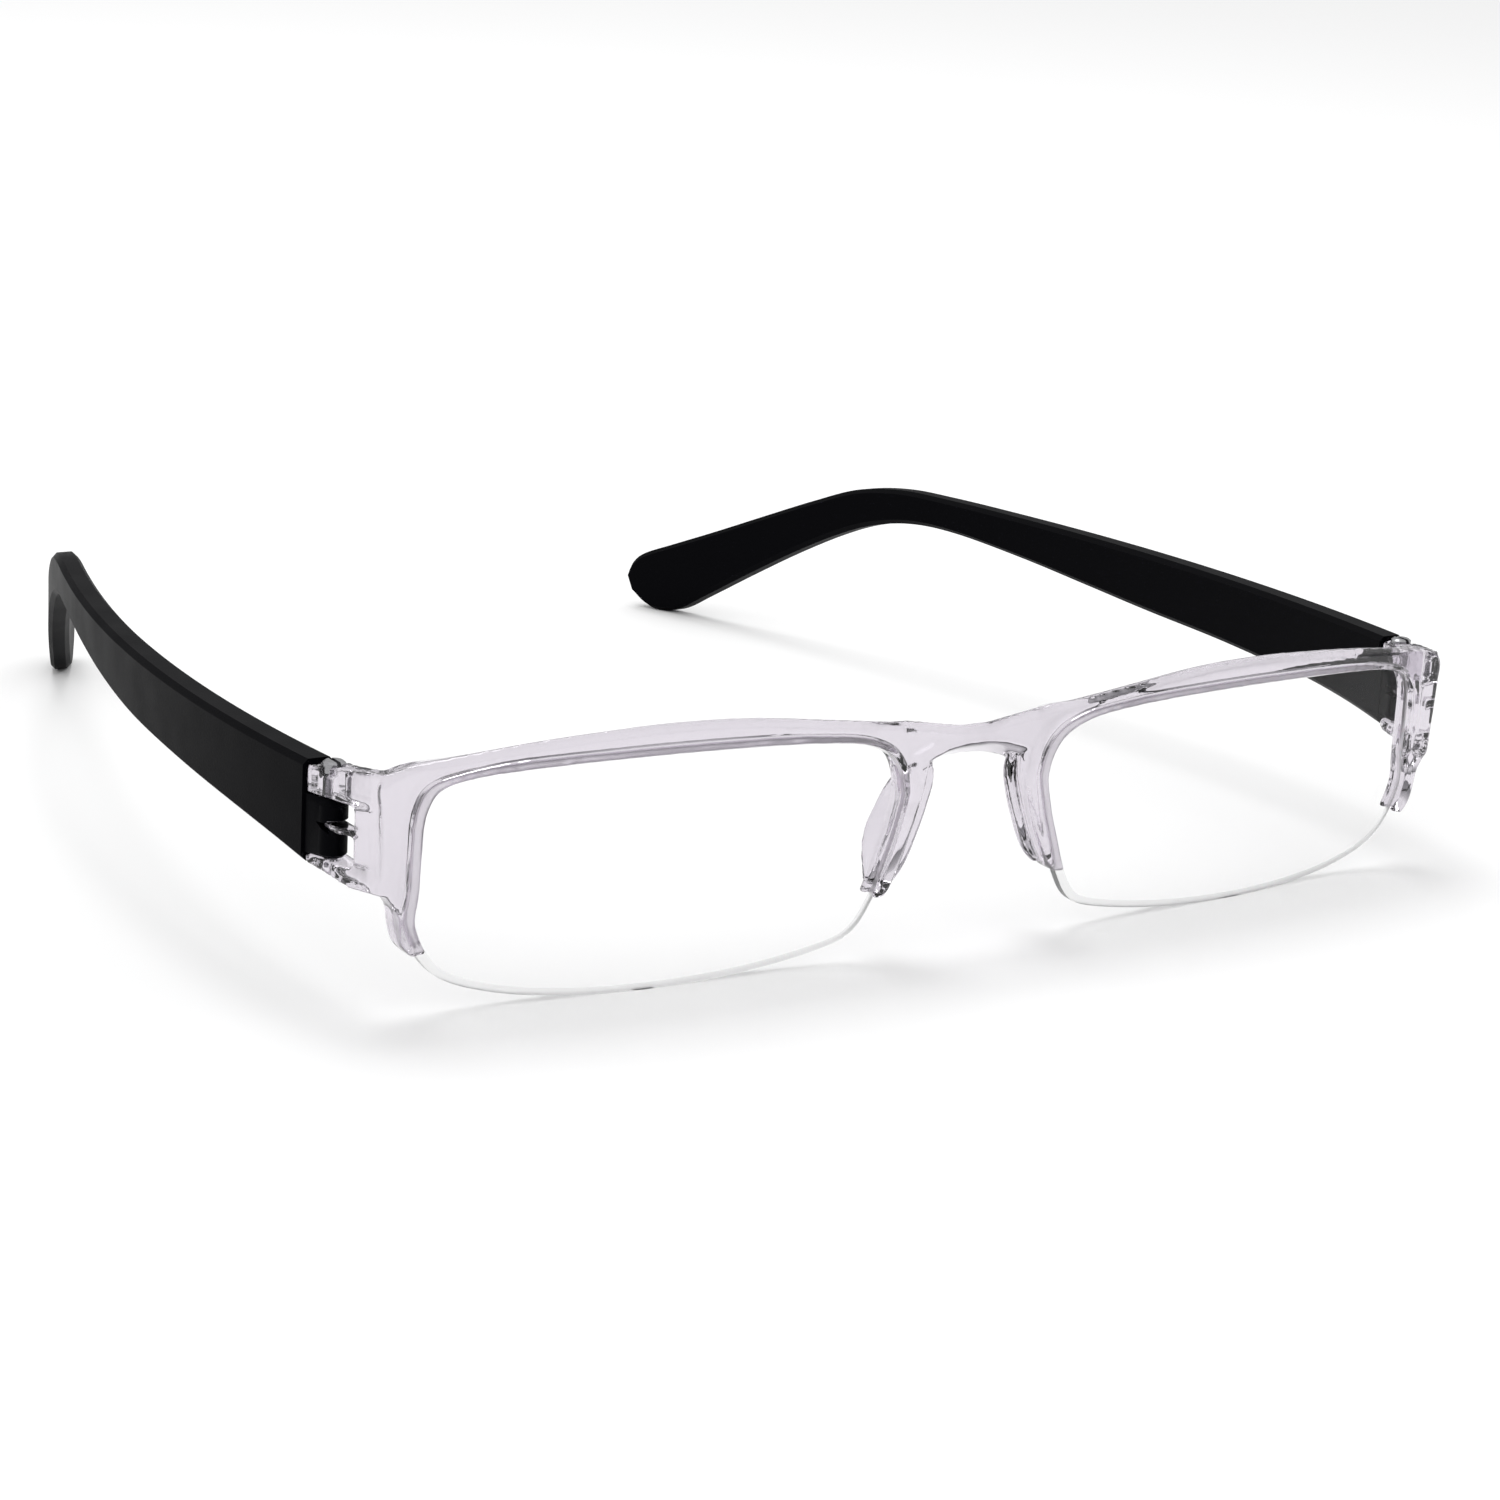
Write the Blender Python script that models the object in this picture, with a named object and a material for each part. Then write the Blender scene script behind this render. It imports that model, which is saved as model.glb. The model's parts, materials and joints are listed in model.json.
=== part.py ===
"""Half rim eyeglasses.

A clear one-piece front holds two lenses that have no rim below. Two black temples fold on metal
screws at its ends. Sizes are in millimetres: X is across the face, Y runs from the front back
along the temples, and Z is up. The shapes are drawn for the +X side and mirrored for the other.
"""
import math

import bmesh
import bpy
import numpy as np

MM = 0.001

# Front moulding
FRONT_BOW = 2.76            # how far the front curves back at 50 mm from the middle
FRONT_LEAN = 0.029          # the front leans back this much per millimetre of height
FRONT_MID_Z = 12.4
FRONT_START_Y = 0.4
BRIDGE_RECESS = 1.5
BRIDGE_RECESS_REACH = 9.0
FRONT_THICKNESS = 3.4
TOP_CHAMFER = 0.6
SIDE_CHAMFER = 0.25
BACK_CHAMFER = 0.45
TOP_BACK_FALL = 1.0         # the top face falls this much from front to back

# Lenses
LENS_MIDDLE = (35.0, 12.4)
LENS_SETBACK = 0.55         # lens surface behind the front face, at the lens middle
LENS_FRONT_RADIUS = 250.0
LENS_BACK_RADIUS = 480.0
LENS_THICKNESS = 1.9
LENS_FRONT_BEVEL = (0.85, 0.22)
LENS_BACK_BEVEL = 0.15
LENS_SEAT = 0.7             # how far the lens edge sits inside the groove
GROOVE_GAP = 0.25
GROOVE_DEPTH = LENS_SEAT + 0.5

# Edge of the lens, from the outer side up, over the top, down the nose side and along the bottom
LENS_OUTLINE = (
    (61.6, 8.6), (61.5, 12.6), (61.4, 16.6), (61.1, 20.2), (59.6, 22.8), (56.0, 23.9),
    (50.0, 24.35), (42.5, 24.6), (35.0, 24.7), (27.0, 24.6), (19.0, 24.25), (13.2, 23.4),
    (9.7, 21.3), (8.3, 17.6), (8.9, 13.8), (10.1, 10.0), (11.5, 6.2), (13.8, 3.0),
    (18.2, 1.6), (26.5, 0.45), (35.5, 0.0), (44.2, 0.25), (52.5, 1.4), (58.6, 3.8),
)

# Outer edge of the half rim: place along the lens outline, then x and z
RIM_STATIONS = (
    (-0.5, 61.35, 6.1), (-0.2, 62.3, 7.2), (0.15, 62.8, 8.9), (0.6, 63.1, 10.8),
    (0.85, 63.8, 11.9), (1.15, 64.5, 13.2), (2.0, 64.65, 16.6), (3.0, 64.85, 20.6),
    (3.7, 64.9, 23.4), (4.4, 62.6, 24.8), (5.1, 58.4, 25.4), (6.0, 50.6, 26.3),
    (7.0, 43.0, 26.85), (8.0, 35.2, 27.15), (9.0, 27.0, 26.9), (10.0, 18.0, 25.9),
    (11.0, 11.3, 25.0), (11.6, 7.8, 24.5), (12.1, 5.9, 22.2), (13.0, 6.1, 18.1),
    (13.8, 6.9, 15.1), (14.6, 7.95, 11.9), (15.2, 9.0, 9.4), (15.7, 9.9, 7.5),
    (15.95, 10.6, 6.7),
)

# Bridge: x, top z and underside z at its front
BRIDGE_STATIONS = (
    (0.0, 23.4, 21.2), (1.6, 23.4, 21.15), (3.4, 23.7, 20.9), (5.2, 24.05, 20.4),
    (7.4, 24.5, 19.8), (8.4, 24.6, 21.0),
)
BRIDGE_UNDERCUT = 1.6       # the underside falls this much from front to back

# Nose pad: z, x of its nose edge, x of its root in the leg, and x and y of its back edge
PAD_STATIONS = (
    (19.55, 4.55, 6.6, 6.75, 5.25), (18.4, 4.2, 6.7, 6.9, 5.7), (17.2, 4.3, 6.9, 7.15, 6.4),
    (16.0, 4.6, 7.2, 7.45, 7.0),
    (14.3, 5.1, 7.7, 8.0, 7.4), (12.4, 5.8, 8.3, 8.7, 7.65), (10.4, 6.6, 9.1, 9.3, 7.25),
    (8.8, 7.5, 9.8, 9.75, 6.3), (7.6, 8.7, 10.3, 10.3, 5.2),
)
PAD_SETBACK = 1.1           # nose edge behind the front face
PAD_EDGE = 0.9

# Hinge
HINGE_X = 66.0
HINGE_Y = 12.8
BARREL_RADIUS = 1.9
KNUCKLE_RADIUS = 1.45
WALL_BACK_Y = 8.9
WALL_INSET = 0.08
BUTT_Y = 15.0
BUTT_GAP = 0.3
LUG_LEVELS = ((12.3, 14.25), (20.3, 24.5))
LUG_TOP_FALL = 0.13         # fall of the top lug per millimetre towards the temple
LUG_BOTTOM_RISE = 0.2       # rise of the bottom lug per millimetre behind the corner wall
LEAF_LEVELS = (17.4, 18.0)
LEAF_RADIUS = 1.05
TENON_PROFILE = ((14.4, 1.1), (14.75, KNUCKLE_RADIUS), (19.5, KNUCKLE_RADIUS), (20.15, 0.95))
SLOT_LEVELS = (17.25, 18.15)
SLOT_RADIUS = 1.15
NOTCH = ((-2.2, 18.05), (0.5, 17.8), (-2.2, 16.3))
BORE_RADIUS = 0.75
SCREW_RADIUS = 0.6
SCREW_HEAD_RADIUS = 1.1
HEAD_RECESS_RADIUS = 1.4
HEAD_SEAT_Z = 22.6
SCREW_TOP_Z = 23.7
SCREW_END_Z = 13.4
HEAD_SLOT_WIDTH = 0.4
HEAD_SLOT_DEPTH = 0.5

# Temples: y and z of the top edge, then y and z of the bottom edge
TEMPLE_STATIONS = (
    (15.0, 23.4, 15.0, 13.4), (22.0, 23.4, 22.0, 14.3), (31.0, 23.4, 31.0, 15.1),
    (43.0, 23.4, 43.0, 15.8), (56.0, 23.4, 56.0, 16.4), (68.0, 23.4, 67.0, 17.3),
    (80.0, 23.4, 78.0, 18.4), (91.0, 23.4, 89.0, 19.3), (98.0, 23.2, 96.0, 19.1),
    (104.5, 22.0, 102.0, 17.7), (111.0, 19.3, 107.5, 15.3), (118.0, 16.0, 114.0, 11.6),
    (125.4, 12.4, 120.5, 7.4), (131.5, 9.5, 126.5, 3.3), (135.6, 7.5, 130.6, 0.6),
    (137.2, 6.0, 134.0, 0.1), (137.7, 4.6, 136.6, 1.7),
)
TEMPLE_FRONT_THICKNESS = 3.3
TEMPLE_REAR_THICKNESS = 2.6
TEMPLE_CHAMFER = 0.55

CURVE_STEPS = 3
CIRCLE_SIDES = 24
LUG_ARC_STEPS = 8
TENON_ARC_STEPS = 14

COLOURS = {
    "clear_plastic": ((0.86, 0.85, 0.88, 0.35), 0.08, 0.0),
    "lens_plastic": ((0.95, 0.97, 0.98, 0.2), 0.03, 0.0),
    "black_plastic": ((0.012, 0.012, 0.015, 1.0), 0.42, 0.0),
    "steel": ((0.62, 0.62, 0.64, 1.0), 0.3, 1.0),
}


def clear_scene():
    for thing in list(bpy.data.objects):
        bpy.data.objects.remove(thing)


def material(name):
    """Plain Principled material in one of the part's colours, made once."""
    if name in bpy.data.materials:
        return bpy.data.materials[name]
    colour, roughness, metallic = COLOURS[name]
    result = bpy.data.materials.new(name)
    result.use_nodes = True
    shader = result.node_tree.nodes["Principled BSDF"]
    shader.inputs["Base Color"].default_value = (*colour[:3], 1.0)
    shader.inputs["Alpha"].default_value = colour[3]
    shader.inputs["Roughness"].default_value = roughness
    shader.inputs["Metallic"].default_value = metallic
    return result


def curve_points(points, places):
    """Points on the smooth curve through the given points, at places counted in points."""
    points = np.array(points, dtype=float)
    result = []
    for place in places:
        first = min(int(math.floor(place)), len(points) - 2)
        share = place - first
        before = points[first - 1] if first > 0 else 2.0 * points[0] - points[1]
        start = points[first]
        end = points[first + 1]
        last = len(points) - 1
        after = points[first + 2] if first + 2 <= last else 2.0 * points[last] - points[last - 1]
        turn = (2.0 * before - 5.0 * start + 4.0 * end - after) * share ** 2
        twist = (3.0 * (start - end) + after - before) * share ** 3
        result.append(0.5 * (2.0 * start + (end - before) * share + turn + twist))
    return np.array(result)


def smooth_curve(points, steps=CURVE_STEPS):
    """Points on the curve through all the given points, with the ends kept."""
    count = (len(points) - 1) * steps
    return curve_points(points, [index / steps for index in range(count + 1)])


def lens_edge(places, inset=0.0):
    """Points on the closed lens outline at the given places, moved inwards by inset."""
    size = len(LENS_OUTLINE)
    margin = 2
    ring = [LENS_OUTLINE[index % size] for index in range(-margin, size + margin + 1)]
    nudge = 0.01
    points = curve_points(ring, [place + margin for place in places])
    ahead = curve_points(ring, [place + margin + nudge for place in places])
    along = ahead - points
    along /= np.linalg.norm(along, axis=1)[:, None]
    inward = np.stack([-along[:, 1], along[:, 0]], axis=1)
    return points + inward * inset


def front_y(x, z):
    """Depth of the moulding's front face."""
    bow = FRONT_BOW * (x / 50.0) ** 2
    recess = BRIDGE_RECESS * math.exp(-(x / BRIDGE_RECESS_REACH) ** 2)
    return FRONT_START_Y + bow + recess - FRONT_LEAN * (z - FRONT_MID_Z)


def lens_y(x, z, radius):
    """Depth of a lens surface of the given radius, before the lens thickness is added."""
    middle_x, middle_z = LENS_MIDDLE
    tilt = 2.0 * FRONT_BOW * middle_x / 50.0 ** 2
    plane = front_y(middle_x, middle_z) + LENS_SETBACK
    plane += tilt * (x - middle_x) - FRONT_LEAN * (z - middle_z)
    distance = (x - middle_x) ** 2 + (z - middle_z) ** 2
    return plane + distance / (2.0 * radius)


def lens_front(x, z):
    return lens_y(x, z, LENS_FRONT_RADIUS)


def lens_back(x, z):
    return lens_y(x, z, LENS_BACK_RADIUS) + LENS_THICKNESS


def temple_outer_x(y):
    """Outer face of the temple: it bows out a little, then comes in towards the ear."""
    length = y / 100.0
    return 66.345 + 15.7 * length - 23.9 * length ** 2


def add_object(name, mesh, material_name, sharp_angle=35.0):
    mesh.shade_smooth()
    mesh.set_sharp_from_angle(angle=math.radians(sharp_angle))
    result = bpy.data.objects.new(name, mesh)
    bpy.context.scene.collection.objects.link(result)
    result.data.materials.clear()
    result.data.materials.append(material(material_name))
    return result


def solid(name, points, faces, material_name, side=1):
    """Closed mesh object from points in millimetres, mirrored for side -1, facing outwards."""
    mesh = bpy.data.meshes.new(name)
    places = [(side * x * MM, y * MM, z * MM) for x, y, z in points]
    mesh.from_pydata(places, [], faces)
    work = bmesh.new()
    work.from_mesh(mesh)
    bmesh.ops.recalc_face_normals(work, faces=work.faces)
    work.to_mesh(mesh)
    work.free()
    return add_object(name, mesh, material_name)


def loft(name, rings, material_name, side=1):
    """Solid skinned through rings of points, with its first and last ring as end faces."""
    size = len(rings[0])
    points = [point for ring in rings for point in ring]
    faces = [tuple(range(size)), tuple(range(len(points) - size, len(points)))]
    for ring in range(len(rings) - 1):
        for corner in range(size):
            ahead = (corner + 1) % size
            low = ring * size
            high = low + size
            faces.append((low + corner, low + ahead, high + ahead, high + corner))
    return solid(name, points, faces, material_name, side)


def cylinder(name, radius, low, high, side):
    """Upright cylinder on the hinge axis."""
    rings = []
    for z in (low, high):
        angles = [2.0 * math.pi * index / CIRCLE_SIDES for index in range(CIRCLE_SIDES)]
        rings.append([(HINGE_X + radius * math.cos(a), HINGE_Y + radius * math.sin(a), z)
                      for a in angles])
    return loft(name, rings, "steel", side)


def plate(name, outline, low, high, material_name, side, top_fall=0.0, bottom_rise=0.0):
    """Plate of a plan outline between two heights; top and bottom may close in to the back."""
    bottom = [(x, y, low + bottom_rise * max(0.0, y - WALL_BACK_Y)) for x, y in outline]
    top = [(x, y, high - top_fall * (y - FRONT_START_Y - FRONT_BOW)) for x, y in outline]
    return loft(name, [bottom, top], material_name, side)


def combine(target, tools, operation):
    """Apply a Boolean of each tool to the target and remove the tools."""
    for tool in tools:
        modifier = target.modifiers.new(operation.lower(), "BOOLEAN")
        modifier.operation = operation
        modifier.solver = "EXACT"
        modifier.object = tool
    graph = bpy.context.evaluated_depsgraph_get()
    mesh = bpy.data.meshes.new_from_object(target.evaluated_get(graph))
    target.modifiers.clear()
    target.data = mesh
    mesh.name = target.name
    for tool in tools:
        bpy.data.objects.remove(tool)
    while len(mesh.materials) > 1:
        mesh.materials.pop()
    mesh.shade_smooth()
    mesh.set_sharp_from_angle(angle=math.radians(35.0))


def rim_ring(inner, outer):
    """Section of the half rim from its grooved lens side to its chamfered outer side."""
    across = outer - inner
    width = np.linalg.norm(across)
    across /= width
    rise = min(1.0, max(0.0, 1.8 * across[1]))
    face = front_y(*inner)
    mouth_front = lens_front(*inner) - face - GROOVE_GAP
    mouth_back = lens_back(*inner) - face + GROOVE_GAP
    chamfer = min(SIDE_CHAMFER + rise * (TOP_CHAMFER - SIDE_CHAMFER), 0.3 * width)
    back_chamfer = min(BACK_CHAMFER, 0.3 * width)
    depth = min(GROOVE_DEPTH, 0.65 * width)
    back = FRONT_THICKNESS
    back_width = width - rise * TOP_BACK_FALL
    section = (
        (0.0, 0.3), (0.3, 0.0), (width - chamfer, 0.0), (width, chamfer),
        (back_width, back - back_chamfer), (back_width - back_chamfer, back), (0.3, back),
        (0.0, back - 0.3), (0.0, mouth_back), (depth, mouth_back), (depth, mouth_front),
        (0.0, mouth_front),
    )
    ring = []
    for distance, into in section:
        x, z = inner + across * distance
        ring.append((x, front_y(x, z) + into, z))
    return ring


def half_rim(side):
    """Inverted U around the top and sides of one lens."""
    stations = smooth_curve(RIM_STATIONS, 4)
    inner = lens_edge(stations[:, 0], inset=LENS_SEAT)
    rings = [rim_ring(start, end) for start, end in zip(inner, stations[:, 1:])]
    return loft("half_rim", rings, "clear_plastic", side)


def bridge():
    """Arch over the nose that joins the two half rims."""
    right_half = [tuple(row) for row in smooth_curve(BRIDGE_STATIONS[1:])]
    left_half = [(-x, top, under) for x, top, under in reversed(right_half)]
    rings = []
    for x, top, under in left_half + right_half:
        face = front_y(x, under)
        back = face + FRONT_THICKNESS
        middle = under - 0.5 * BRIDGE_UNDERCUT
        back_top = top - TOP_BACK_FALL
        rings.append([
            (x, face, under + 0.3), (x, face, top - TOP_CHAMFER),
            (x, face + TOP_CHAMFER, top), (x, back - BACK_CHAMFER, back_top),
            (x, back, back_top - BACK_CHAMFER), (x, back, under - BRIDGE_UNDERCUT + 0.3),
            (x, back - 0.4, under - BRIDGE_UNDERCUT), (x, face + 1.6, middle),
            (x, face + 0.3, under),
        ])
    return loft("bridge", rings, "clear_plastic")


def nose_pad(side):
    """Curved plate that rests on the nose, splayed back from the leg of the half rim."""
    rings = []
    for z, nose_x, root_x, edge_x, edge_y in smooth_curve(PAD_STATIONS, 2):
        start_y = front_y(nose_x, z) + PAD_SETBACK
        rings.append([
            (nose_x, start_y + 0.3, z), (nose_x + 0.4, start_y, z), (root_x, start_y + 0.3, z),
            (root_x, start_y + 2.0, z), (edge_x + PAD_EDGE, edge_y - 0.4, z),
            (edge_x + 0.5 * PAD_EDGE, edge_y, z), (edge_x, edge_y - 0.2, z),
        ])
    return loft("nose_pad", rings, "clear_plastic", side)


def hinge_arc(radius, start, end, steps):
    """Plan points on an arc about the hinge axis, with angles in degrees from +X."""
    result = []
    for index in range(steps + 1):
        angle = math.radians(start + (end - start) * index / steps)
        result.append((HINGE_X + radius * math.cos(angle), HINGE_Y + radius * math.sin(angle)))
    return result


def corner_line():
    """Plan of the outer corner, from inside the half rim to the side of the corner."""
    front_face = front_y(63.6, 18.0)
    return [(63.5, front_face + 1.2), (64.2, front_face + 0.4), (64.75, front_face + 0.7)]


def lug_outline():
    """Plan of a hinge lug: corner, outer face to the butt line, and the barrel inside."""
    rear_y = BUTT_Y - BUTT_GAP
    outline = corner_line() + [(66.3, 9.0), (temple_outer_x(rear_y) - 0.15, rear_y)]
    outline += hinge_arc(BARREL_RADIUS, 90.0, 180.0, LUG_ARC_STEPS)
    return outline + [(HINGE_X - BARREL_RADIUS, 11.2), (63.5, WALL_BACK_Y - 0.5)]


def corner_wall(side):
    """Solid corner between the half rim and the hinge window, set in from the lugs."""
    outline = [(x - WALL_INSET, y + WALL_INSET) for x, y in corner_line()]
    outline += [(66.0, WALL_BACK_Y - 0.3), (65.6, WALL_BACK_Y), (63.7, WALL_BACK_Y - 0.45)]
    low = LUG_LEVELS[0][0]
    high = LUG_LEVELS[-1][1]
    return plate("corner_wall", outline, low, high - 0.1, "clear_plastic", side, LUG_TOP_FALL)


def hinge_lugs(side):
    """The bottom and top lugs of the front, and the thin leaf between them."""
    bottom, top = LUG_LEVELS
    outline = lug_outline()
    leaf = [(HINGE_X - LEAF_RADIUS, WALL_BACK_Y - 1.0), (HINGE_X - 0.5, WALL_BACK_Y - 1.0),
            (HINGE_X + LEAF_RADIUS, WALL_BACK_Y + 0.9)]
    leaf += hinge_arc(LEAF_RADIUS, 0.0, 180.0, LUG_ARC_STEPS)
    return [
        plate("lug", outline, *bottom, "clear_plastic", side, bottom_rise=LUG_BOTTOM_RISE),
        plate("lug", outline, *top, "clear_plastic", side, top_fall=LUG_TOP_FALL),
        plate("leaf", leaf, *LEAF_LEVELS, "clear_plastic", side),
    ]


def front_frame():
    """The clear one-piece front, bored for the hinge screws."""
    body = bridge()
    body.name = "front_frame"
    additions = []
    for side in (1, -1):
        additions += [half_rim(side), nose_pad(side), corner_wall(side)] + hinge_lugs(side)
    combine(body, additions, "UNION")
    cuts = []
    for side in (1, -1):
        cuts.append(cylinder("bore", BORE_RADIUS, 10.0, 26.0, side))
        cuts.append(cylinder("head_recess", HEAD_RECESS_RADIUS, HEAD_SEAT_Z - 0.3, 26.0, side))
    combine(body, cuts, "DIFFERENCE")
    return body


def lens(name, side):
    """Meniscus lens with a flat edge, bevelled at the front."""
    count = 3 * len(LENS_OUTLINE)
    places = [index / 3.0 for index in range(count)]
    edge = lens_edge(places)
    run, depth = LENS_FRONT_BEVEL
    front = lens_edge(places, inset=run)
    back = lens_edge(places, inset=LENS_BACK_BEVEL)
    middle = np.array(LENS_MIDDLE)
    rings = []
    for share in (0.4, 0.75, 1.0):
        rings.append([(x, lens_front(x, z), z) for x, z in middle + share * (front - middle)])
    rings.append([(x, lens_front(x, z) + depth, z) for x, z in edge])
    rings.append([(x, lens_back(x, z) - LENS_BACK_BEVEL, z) for x, z in edge])
    for share in (1.0, 0.75, 0.4):
        rings.append([(x, lens_back(x, z), z) for x, z in middle + share * (back - middle)])
    return loft(name, rings, "lens_plastic", side)


def temple_ring(station):
    """Upright section of the temple with chamfered edges."""
    top_y, top_z, bottom_y, bottom_z = station
    top = np.array((top_y, top_z))
    bottom = np.array((bottom_y, bottom_z))
    height = np.linalg.norm(top - bottom)
    up = (top - bottom) / height
    chamfer = min(TEMPLE_CHAMFER, 0.3 * height)
    share = (top_y - BUTT_Y) / (TEMPLE_STATIONS[-1][0] - BUTT_Y)
    thickness = TEMPLE_FRONT_THICKNESS + share * (TEMPLE_REAR_THICKNESS - TEMPLE_FRONT_THICKNESS)
    section = (
        (0.0, chamfer), (0.0, height - chamfer), (chamfer, height), (thickness - chamfer, height),
        (thickness, height - chamfer), (thickness, chamfer), (thickness - chamfer, 0.0),
        (chamfer, 0.0),
    )
    ring = []
    for inward, rise in section:
        y, z = bottom + up * rise
        ring.append((temple_outer_x(y) - inward, y, z))
    return ring


def tenon(side):
    """Round-nosed block at the front of the temple that turns between the lugs."""
    rings = []
    for z, radius in TENON_PROFILE:
        outline = [(HINGE_X - 0.7, BUTT_Y + 1.5), (HINGE_X + 1.85, BUTT_Y + 1.5),
                   (HINGE_X + 1.85, BUTT_Y - 0.4)]
        outline += hinge_arc(radius, 0.0, -180.0, TENON_ARC_STEPS)
        rings.append([(x, y, z) for x, y in outline])
    return loft("tenon", rings, "black_plastic", side)


def tenon_cuts(side):
    """Slot for the leaf, open to the front and inside, the notch before it, and the pin's bore."""
    far = HINGE_X - 5.0
    slot = hinge_arc(SLOT_RADIUS, 0.0, 90.0, LUG_ARC_STEPS)
    slot += [(far, HINGE_Y + SLOT_RADIUS), (far, HINGE_Y - 4.0),
             (HINGE_X + SLOT_RADIUS, HINGE_Y - 4.0)]
    notch = [[(HINGE_X + reach, HINGE_Y + y, z) for y, z in NOTCH] for reach in (0.9, 4.0)]
    return [
        plate("slot", slot, *SLOT_LEVELS, "black_plastic", side),
        loft("notch", notch, "black_plastic", side),
        cylinder("bore", BORE_RADIUS, 10.0, 26.0, side),
    ]


def temple(name, side):
    """Black side arm with the tenon of its hinge."""
    stations = smooth_curve(TEMPLE_STATIONS)
    body = loft(name, [temple_ring(station) for station in stations], "black_plastic", side)
    combine(body, [tenon(side)], "UNION")
    combine(body, tenon_cuts(side), "DIFFERENCE")
    return body


def hinge_screw(name, side):
    """Slotted cap screw that is the hinge pin."""
    profile = ((SCREW_END_Z, SCREW_RADIUS - 0.15), (SCREW_END_Z + 0.2, SCREW_RADIUS),
               (HEAD_SEAT_Z, SCREW_RADIUS), (HEAD_SEAT_Z, SCREW_HEAD_RADIUS),
               (SCREW_TOP_Z - 0.2, SCREW_HEAD_RADIUS), (SCREW_TOP_Z, SCREW_HEAD_RADIUS - 0.25))
    rings = []
    for z, radius in profile:
        angles = [2.0 * math.pi * index / CIRCLE_SIDES for index in range(CIRCLE_SIDES)]
        rings.append([(HINGE_X + radius * math.cos(a), HINGE_Y + radius * math.sin(a), z)
                      for a in angles])
    body = loft(name, rings, "steel", side)
    half = 0.5 * HEAD_SLOT_WIDTH
    outline = [(HINGE_X - half, HINGE_Y - 2.0), (HINGE_X + half, HINGE_Y - 2.0),
               (HINGE_X + half, HINGE_Y + 2.0), (HINGE_X - half, HINGE_Y + 2.0)]
    slot = plate("slot", outline, SCREW_TOP_Z - HEAD_SLOT_DEPTH, SCREW_TOP_Z + 1.0, "steel", side)
    combine(body, [slot], "DIFFERENCE")
    return body


def move_origin(thing, place):
    """Put an object's origin at a place in metres and leave its shape where it is."""
    for vertex in thing.data.vertices:
        vertex.co -= place
    thing.location = place


def add_empty(name, place, parent=None):
    result = bpy.data.objects.new(name, None)
    bpy.context.scene.collection.objects.link(result)
    result.location = place
    result.parent = parent
    return result


def build():
    """Model every piece, then stand the glasses on the ground over the origin."""
    clear_scene()
    pieces = [front_frame()]
    for side, word in ((1, "left"), (-1, "right")):
        pieces.append(lens(f"lens_{word}", side))
        pieces.append(hinge_screw(f"hinge_screw_{word}", side))
        pieces.append(temple(f"temple_{word}", side))
    corners = np.array([vertex.co for piece in pieces for vertex in piece.data.vertices])
    low = corners.min(axis=0)
    high = corners.max(axis=0)
    shift = (0.0, -0.5 * (low[1] + high[1]), -low[2])
    root = add_empty("eyeglasses", shift)
    for piece in pieces:
        piece.parent = root
    for side, word in ((1, "left"), (-1, "right")):
        arm = bpy.data.objects[f"temple_{word}"]
        axis = add_empty(f"temple_{word}_axis", (side * HINGE_X * MM, HINGE_Y * MM, 0.0), root)
        move_origin(arm, axis.location.copy())
        arm.parent = axis
        arm.location = (0.0, 0.0, 0.0)
    print("shift in mm", [round(value / MM, 4) for value in shift])


build()
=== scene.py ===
"""Looks of the half rim eyeglasses: clear moulded front, lenses, satin black temples and screws.

Sizes are in millimetres in the part's drawing frame. MM and the place of the left hinge turn them
into the shared frame. Shapes are drawn for the +X side and mirrored for the other.
"""
import json
import math

import bmesh
import bpy
import numpy as np
from mathutils import Matrix, Vector


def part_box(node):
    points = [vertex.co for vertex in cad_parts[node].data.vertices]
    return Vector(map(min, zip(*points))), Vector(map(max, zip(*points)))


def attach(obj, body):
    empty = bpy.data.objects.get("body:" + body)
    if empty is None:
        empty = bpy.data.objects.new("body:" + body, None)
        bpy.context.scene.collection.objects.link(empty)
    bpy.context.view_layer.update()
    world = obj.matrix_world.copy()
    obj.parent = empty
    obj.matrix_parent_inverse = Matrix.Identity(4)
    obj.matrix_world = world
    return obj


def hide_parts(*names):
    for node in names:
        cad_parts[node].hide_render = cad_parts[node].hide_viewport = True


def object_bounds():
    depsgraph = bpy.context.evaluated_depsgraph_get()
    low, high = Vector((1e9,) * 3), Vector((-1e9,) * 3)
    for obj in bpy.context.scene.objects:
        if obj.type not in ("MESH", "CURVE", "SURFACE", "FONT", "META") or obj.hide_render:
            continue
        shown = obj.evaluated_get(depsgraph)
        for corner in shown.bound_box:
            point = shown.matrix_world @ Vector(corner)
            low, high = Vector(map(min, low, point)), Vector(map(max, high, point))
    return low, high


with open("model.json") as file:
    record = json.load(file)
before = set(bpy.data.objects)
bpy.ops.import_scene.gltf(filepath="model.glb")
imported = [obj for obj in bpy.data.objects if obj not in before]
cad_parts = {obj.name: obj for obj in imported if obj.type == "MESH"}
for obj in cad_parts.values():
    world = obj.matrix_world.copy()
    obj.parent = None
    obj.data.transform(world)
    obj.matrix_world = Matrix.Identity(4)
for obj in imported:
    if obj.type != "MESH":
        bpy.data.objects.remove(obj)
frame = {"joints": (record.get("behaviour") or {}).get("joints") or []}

cad_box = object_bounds()

MM = 0.001

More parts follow.
